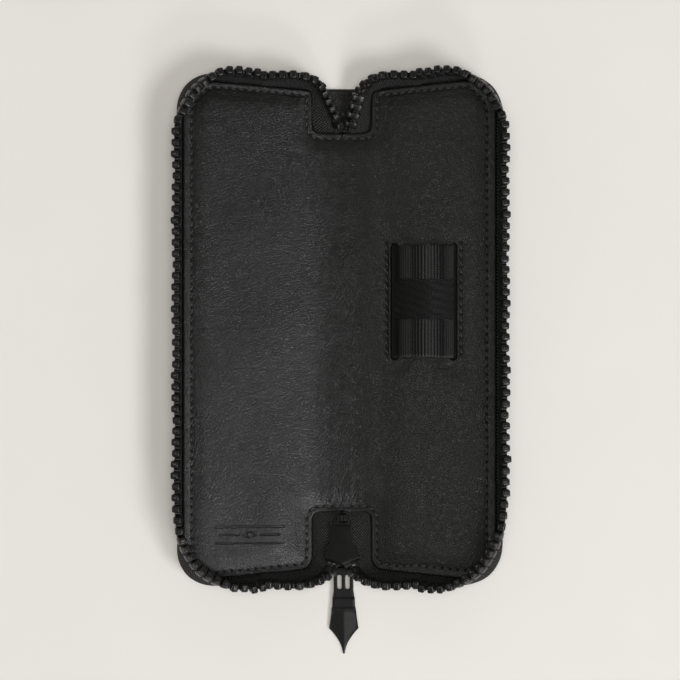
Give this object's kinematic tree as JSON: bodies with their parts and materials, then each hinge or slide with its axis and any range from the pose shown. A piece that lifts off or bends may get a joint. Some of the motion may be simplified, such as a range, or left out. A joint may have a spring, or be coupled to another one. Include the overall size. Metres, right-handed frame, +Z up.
{
  "type": "fountain pen case",
  "caption": "Zip-around leather pen case lying open: two shallow leaves on a folding spine, toothed zip rim, parked slider with nib-shaped puller, elastic pen loop.",
  "frame": {"origin": "middle of the spine's outer face, on which the open case rests", "axes": "+X across the leaves to the one with the pen loop, +Y along the spine away from the parked slider, +Z up out of the open case"},
  "size_m": [0.1046, 0.1846, 0.0261],
  "materials": {
    "cover_leather": "fine grain, semi-matt",
    "lining_leather": "smooth fine grain, satin",
    "stiffener": "matt sheet",
    "foam": "thin foam",
    "zip_tape": "woven, matt",
    "zip_teeth": "moulded, satin",
    "thread": "twisted thread",
    "elastic": "ribbed woven elastic",
    "black_metal": "matt black coating"
  },
  "bodies": {
    "spine": {"spine_cover": "cover_leather", "spine_board": "stiffener", "spine_lining": "lining_leather", "top_tape_end": "zip_tape", "bottom_tape_end": "zip_tape", "top_end_teeth": "zip_teeth", "bottom_end_teeth": "zip_teeth", "top_stop": "black_metal", "bottom_stop": "black_metal", "top_notch_stitching": "thread", "bottom_notch_stitching": "thread"},
    "left_leaf": {"left_cover": "cover_leather", "left_board": "stiffener", "left_foam": "foam", "left_lining": "lining_leather", "left_tape": "zip_tape", "left_teeth": "zip_teeth", "left_stitching": "thread", "left_bend_tape": "zip_tape", "left_bend_teeth": "zip_teeth"},
    "right_leaf": {"right_cover": "cover_leather", "right_board": "stiffener", "right_foam": "foam", "right_lining": "lining_leather", "right_tape": "zip_tape", "right_teeth": "zip_teeth", "right_stitching": "thread", "right_bend_tape": "zip_tape", "right_bend_teeth": "zip_teeth", "pen_loop": "elastic", "loop_stitching": "thread"},
    "slider": {"slider_body": "black_metal", "slider_bridge": "black_metal"},
    "puller": {"nib_puller": "black_metal", "puller_crossbar": "black_metal"}
  },
  "joints": [
    {"name": "left_fold", "type": "hinge", "parent": "spine", "child": "left_leaf", "pos_m": [-0.011, 0, 0.0015], "axis": [0, 1, 0], "range_deg": [-12, 78], "deforming": ["left_bend_tape", "left_bend_teeth"]},
    {"name": "right_fold", "type": "hinge", "parent": "spine", "child": "right_leaf", "pos_m": [0.011, 0, 0.0015], "axis": [0, -1, 0], "range_deg": [-17, 73], "deforming": ["right_bend_tape", "right_bend_teeth"]},
    {"name": "slider_travel", "type": "slide", "parent": "spine", "child": "slider", "axis": [0, -1, 0], "range_m": [0, 0.004], "deforming": ["left_bend_tape", "left_bend_teeth", "right_bend_tape", "right_bend_teeth"]},
    {"name": "puller_swing", "type": "hinge", "parent": "slider", "child": "puller", "pos_m": [0, -0.0719, 0.0029], "axis": [1, 0, 0], "range_deg": [-8, 8]}
  ]
}
